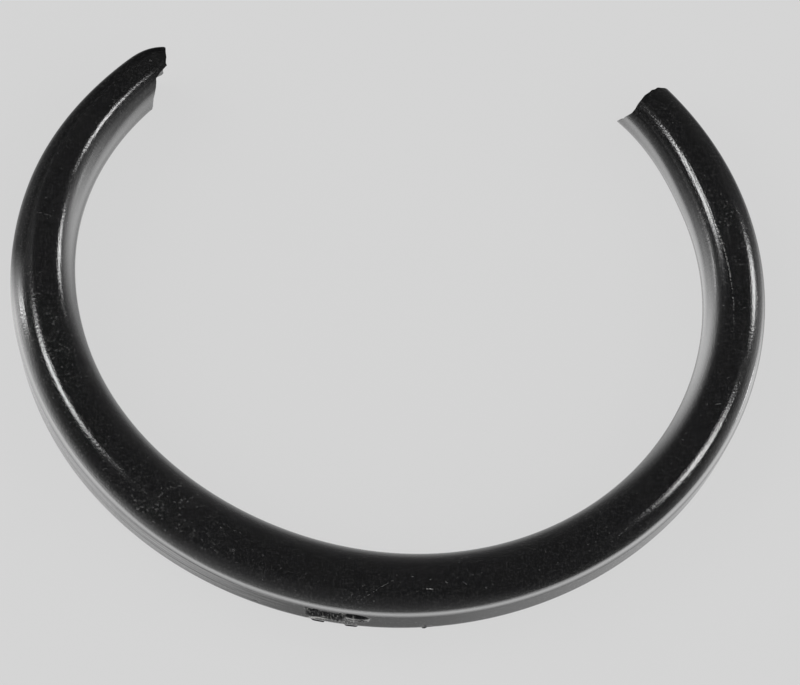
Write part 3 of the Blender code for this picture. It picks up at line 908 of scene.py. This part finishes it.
# Scratches, and the painted highlight along the crest, are broken up where they run over pits
skips = add_node(tree, "ShaderNodeMapRange", {}, {
    "Value": pattern["pits"], "From Min": 0.44, "From Max": 0.60, "To Max": 0.9})
scratches_and_painted_highlight = add_node(tree, "ShaderNodeMath", {"operation": "MAXIMUM"}, {
    0: marks, 1: painted_crest_highlight.outputs["Result"]})
marks_and_painted_highlight = add_node(tree, "ShaderNodeMath", {"operation": "MULTIPLY"}, {
    0: scratches_and_painted_highlight.outputs["Value"], 1: skips.outputs["Result"]})
all_grains = add_node(tree, "ShaderNodeMath", {"operation": "MAXIMUM"}, {
    0: grains.outputs["Result"], 1: haze.outputs["Result"]})
speckled = add_node(tree, "ShaderNodeMath", {"operation": "MAXIMUM"}, {
    0: marks_and_painted_highlight.outputs["Value"], 1: all_grains.outputs["Value"]})
colour = add_node(tree, "ShaderNodeMix", {"data_type": "RGBA"}, {
    0: pattern["clouds"], 6: hex_colour(STONE_BLACK), 7: hex_colour(STONE_MOTTLE)})
COLOUR_LAYERS = (
    (carried["worn_and_painted_sheen"], STONE_WEAR_AND_PAINTED_SHEEN),
    (speckled.outputs["Value"], STONE_MARKS_AND_HIGHLIGHT),
    (carried["fresh"], STONE_BROKEN),
    (carried["crushed_and_painted_reflection"], STONE_CRUSHED_AND_REFLECTION),
)
for share, code in COLOUR_LAYERS:
    colour = add_node(tree, "ShaderNodeMix", {"data_type": "RGBA"}, {
        0: share, 6: colour.outputs[2], 7: hex_colour(code)})
print(len(COLOUR_LAYERS), "layers of colour over the black")

# %% Roughness and relief
ROUGHNESS_LAYERS = (("worn_and_painted_sheen", 0.22), ("dulled", 0.34), ("fresh", 0.36), ("crushed_and_painted_reflection", 0.60))
RELIEF = (
    # pattern, strength, depth in mm
    ("pits", 0.40, 0.02),
    ("hair_lines", 0.25, 0.02),
    ("rubbing_lines", carried["dulled"], 0.02),
    ("wall_lines", carried["lined"], 0.10),
    ("broken_grain", carried["fresh"], 0.09),
)

polished = add_node(tree, "ShaderNodeMapRange", {}, {
    "Value": pattern["hair_lines"], "From Min": 0.35, "From Max": 0.7, "To Min": 0.08, "To Max": 0.13})
roughness = polished.outputs["Result"]
for name, rough in ROUGHNESS_LAYERS:
    roughness = add_node(tree, "ShaderNodeMix", {"data_type": "FLOAT"}, {
        0: carried[name], 2: roughness, 3: rough}).outputs[0]
# Each layer of relief bends the normal that the one before it left
relief = {}
for name, strength, depth in RELIEF:
    bump = add_node(tree, "ShaderNodeBump", {}, {
        "Height": pattern[name], "Strength": strength, "Distance": depth * MM, **relief})
    relief = {"Normal": bump.outputs["Normal"]}
print(len(ROUGHNESS_LAYERS), "layers of roughness,", len(RELIEF), "of relief")

# %% The shader itself
STONE_IOR = 1.66
REFLECTION_LEVEL = 0.5

# Grime in the dull stretches and in the wall's lines takes away from the mirror, down to nothing
grime = add_node(tree, "ShaderNodeMath", {"operation": "MAXIMUM"}, {
    0: carried["dulled"], 1: wall_grime.outputs["Value"]})
mirror = add_node(tree, "ShaderNodeMapRange", {}, {
    "Value": grime.outputs["Value"], "To Min": REFLECTION_LEVEL, "To Max": 0.0})
shader = add_node(tree, "ShaderNodeBsdfPrincipled", {}, {
    "Base Color": colour.outputs[2], "Roughness": roughness, "IOR": STONE_IOR,
    "Specular IOR Level": mirror.outputs["Result"], **relief})
add_node(tree, "ShaderNodeOutputMaterial", {}, {"Surface": shader.outputs["BSDF"]})
mesh.materials.append(stone)
print("stone nodes:", len(tree.nodes))

# %% Put the piece in the CAD node's place
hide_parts("bangle")
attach(bangle, "root")
print("piece stands for the solid node")

# %% [markdown]
# ## Table, lights and camera
#
# The bangle was photographed on a pale field with a bright, soft surround at eye level and a dark
# ceiling, so the top of the stone stays black and its sides shine. The brightness goes on below the
# horizon, as over a glass table with white card under it, so mirror images in the stone look past
# the table. A few small lamps make the short bright streaks.

# %% The table
TABLE_WHITE = 0.615
TABLE_GLOW = "#ffffff"
TABLE_SHADING = "#303030"
TABLE_HALF = 3.0

table_mesh = bpy.data.meshes.new("pale_table")
corners = [(x * TABLE_HALF, y * TABLE_HALF, 0.0) for x, y in ((-1, -1), (1, -1), (1, 1), (-1, 1))]
table_mesh.from_pydata(corners, [], [(0, 1, 2, 3)])
table = bpy.data.objects.new("pale_table", table_mesh)
table.visible_glossy = False
bpy.context.scene.collection.objects.link(table)
table_top = bpy.data.materials.new("matt_pale_table")
table_top.use_nodes = True
top = table_top.node_tree
top.nodes.clear()
glow = add_node(top, "ShaderNodeEmission", {}, {"Color": hex_colour(TABLE_GLOW), "Strength": TABLE_WHITE})
matt = add_node(top, "ShaderNodeBsdfDiffuse", {}, {"Color": hex_colour(TABLE_SHADING)})
both = add_node(top, "ShaderNodeAddShader", {}, {0: glow.outputs[0], 1: matt.outputs[0]})
add_node(top, "ShaderNodeOutputMaterial", {}, {"Surface": both.outputs[0]})
table_mesh.materials.append(table_top)
print("table at height 0")

# %% [markdown]
# The surround is the world's own colour. Four ramps give its brightness by height, from straight down
# to straight up, one each for the near side, the left, the right and the back. They are blended by
# the compass direction, which is the horizontal part of a direction made 1 long.

# %% The surround
SURROUND_SCALE = 10.0
SURROUND_LEVEL = 0.84
# Stops of each ramp: degrees above level, brightness
NEAR = ((-90, 0.6), (-76, 0.6), (-60, 1.5), (-50, 2.2), (-40, 3.0), (-30, 4.3), (-20, 5.4), (-10, 6.5),
        (0, 6.9), (10, 6.2), (20, 4.3), (30, 2.6), (40, 1.4), (47, 0.9), (55, 0.5), (65, 0.3), (90, 0.2))
LEFT = ((-90, 0.7), (-75, 1.3), (-60, 1.7), (-45, 2.8), (-30, 4.2), (-15, 5.8), (0, 7.3), (10, 8.4),
        (20, 8.5), (28, 7.6), (34, 5.5), (40, 2.6), (46, 0.8), (52, 0.3), (60, 0.15), (90, 0.13))
RIGHT = ((-90, 0.7), (-60, 1.0), (-50, 1.8), (-35, 3.0), (-20, 4.9), (-10, 6.4), (0, 7.3), (10, 7.5),
         (20, 6.8), (26, 5.8), (33, 4.0), (40, 1.8), (46, 0.6), (52, 0.25), (60, 0.15), (90, 0.13))
BACK = ((-90, 0.9), (-60, 0.8), (-45, 0.7), (-27, 0.95), (-10, 0.95), (0, 0.7), (5, 0.5), (20, 0.28),
        (35, 0.16), (50, 0.12), (90, 0.12))

world = bpy.data.worlds.new("studio")
bpy.context.scene.world = world
world.use_nodes = True
world.cycles.sampling_method = "NONE"
sky = world.node_tree
sky.nodes.clear()
direction = add_node(sky, "ShaderNodeTexCoord").outputs["Generated"]
height = add_node(sky, "ShaderNodeSeparateXYZ", {}, {"Vector": direction}).outputs["Z"]
height_share = add_node(sky, "ShaderNodeMapRange", {}, {"Value": height, "From Min": -1.0}).outputs[0]
levelled = add_node(sky, "ShaderNodeVectorMath", {"operation": "MULTIPLY"}, {
    0: direction, 1: (1.0, 1.0, 0.0)})
compass_vector = add_node(sky, "ShaderNodeVectorMath", {"operation": "NORMALIZE"}, {
    0: levelled.outputs["Vector"]})
compass = add_node(sky, "ShaderNodeSeparateXYZ", {}, {"Vector": compass_vector.outputs["Vector"]})

ramps = []
for stops in (LEFT, RIGHT, NEAR, BACK):
    ramp = add_node(sky, "ShaderNodeValToRGB", {}, {"Fac": height_share})
    elements = ramp.color_ramp.elements
    while len(elements) < len(stops):
        elements.new(0.5)
    for element, (degrees, value) in zip(elements, stops):
        element.position = (1.0 + np.sin(np.radians(degrees))) / 2
        element.color = (*[value / SURROUND_SCALE] * 3, 1.0)
    ramps.append(ramp.outputs["Color"])
print("surround:", [len(stops) for stops in (LEFT, RIGHT, NEAR, BACK)], "stops")

# %% Blend the four ramps by the compass, with the dark back a little further round on the right
BACK_LEAN = 0.09

backwards = add_node(sky, "ShaderNodeMath", {"operation": "MULTIPLY_ADD"}, {
    0: compass.outputs["X"], 1: BACK_LEAN, 2: compass.outputs["Y"]}).outputs["Value"]
BLENDS = (
    # part of the compass direction, where the next ramp begins and where it is full
    (compass.outputs["X"], -0.3, 0.3),
    (compass.outputs["Y"], -0.3, -0.8),
    (backwards, 0.45, 0.92),
)

surround = ramps[0]
for (towards, start, end), ramp in zip(BLENDS, ramps[1:]):
    share = add_node(sky, "ShaderNodeMapRange", {"interpolation_type": "SMOOTHSTEP"}, {
        "Value": towards, "From Min": start, "From Max": end})
    surround = add_node(sky, "ShaderNodeMix", {"data_type": "RGBA"}, {
        0: share.outputs["Result"], 6: surround, 7: ramp}).outputs[2]
back_light = add_node(sky, "ShaderNodeBackground", {}, {
    "Color": surround, "Strength": SURROUND_LEVEL * SURROUND_SCALE})
add_node(sky, "ShaderNodeOutputWorld", {}, {"Surface": back_light.outputs["Background"]})
print("world nodes:", len(sky.nodes))

# %% The lamps
LAMP_DISTANCE = 1.2
LAMP_RADIUS = 0.080
LAMP_WATTS = 0.80
LAMPS = (
    # name, direction towards the lamp: right, back and up
    ("lamp_left_high", (-0.275, 0.391, 0.878)),
    ("lamp_left_low", (-0.655, 0.388, 0.648)),
    ("lamp_right_high", (0.400, 0.377, 0.836)),
    ("lamp_right_middle", (0.480, 0.600, 0.640)),
    ("lamp_right_low", (0.822, 0.378, 0.425)),
)
for name, towards in LAMPS:
    lamp = bpy.data.lights.new(name, "AREA")
    lamp.shape = "DISK"
    lamp.size = 2.0 * LAMP_RADIUS
    lamp.energy = LAMP_WATTS
    lamp_object = bpy.data.objects.new(name, lamp)
    bpy.context.scene.collection.objects.link(lamp_object)
    away = Vector(towards).normalized()
    lamp_object.location = away * LAMP_DISTANCE
    lamp_object.rotation_euler = away.to_track_quat("Z", "Y").to_euler()
print(len(LAMPS), "lamps")

# %% The camera at the photograph's angle
ELEVATION = np.radians(57.8)
ROLL = np.radians(7.43)
CAMERA_DISTANCE = 0.8
LENS = 360.0
SENSOR = 36.0
AIM_RIGHT = 1.28 * MM
AIM_DOWN = 3.28 * MM
NEAREST_SEEN = 0.01

level_up = np.array([0.0, np.sin(ELEVATION), np.cos(ELEVATION)])
level_right = np.array([1.0, 0.0, 0.0])
right = np.cos(ROLL) * level_right + np.sin(ROLL) * level_up
up = -np.sin(ROLL) * level_right + np.cos(ROLL) * level_up
back = np.cross(right, up)
aim = shift + AIM_RIGHT * right - AIM_DOWN * up
camera_data = bpy.data.cameras.new("camera")
camera_data.lens = LENS
camera_data.sensor_width = SENSOR
camera_data.clip_start = NEAREST_SEEN
camera = bpy.data.objects.new("camera", camera_data)
bpy.context.scene.collection.objects.link(camera)
turned = Matrix((right, up, back)).transposed().to_4x4()
camera.matrix_world = Matrix.Translation(aim + back * CAMERA_DISTANCE) @ turned
bpy.context.scene.camera = camera
bpy.context.scene.view_settings.view_transform = "Standard"
print("camera at", np.round(np.array(camera.matrix_world.translation) / MM, 1), "mm")
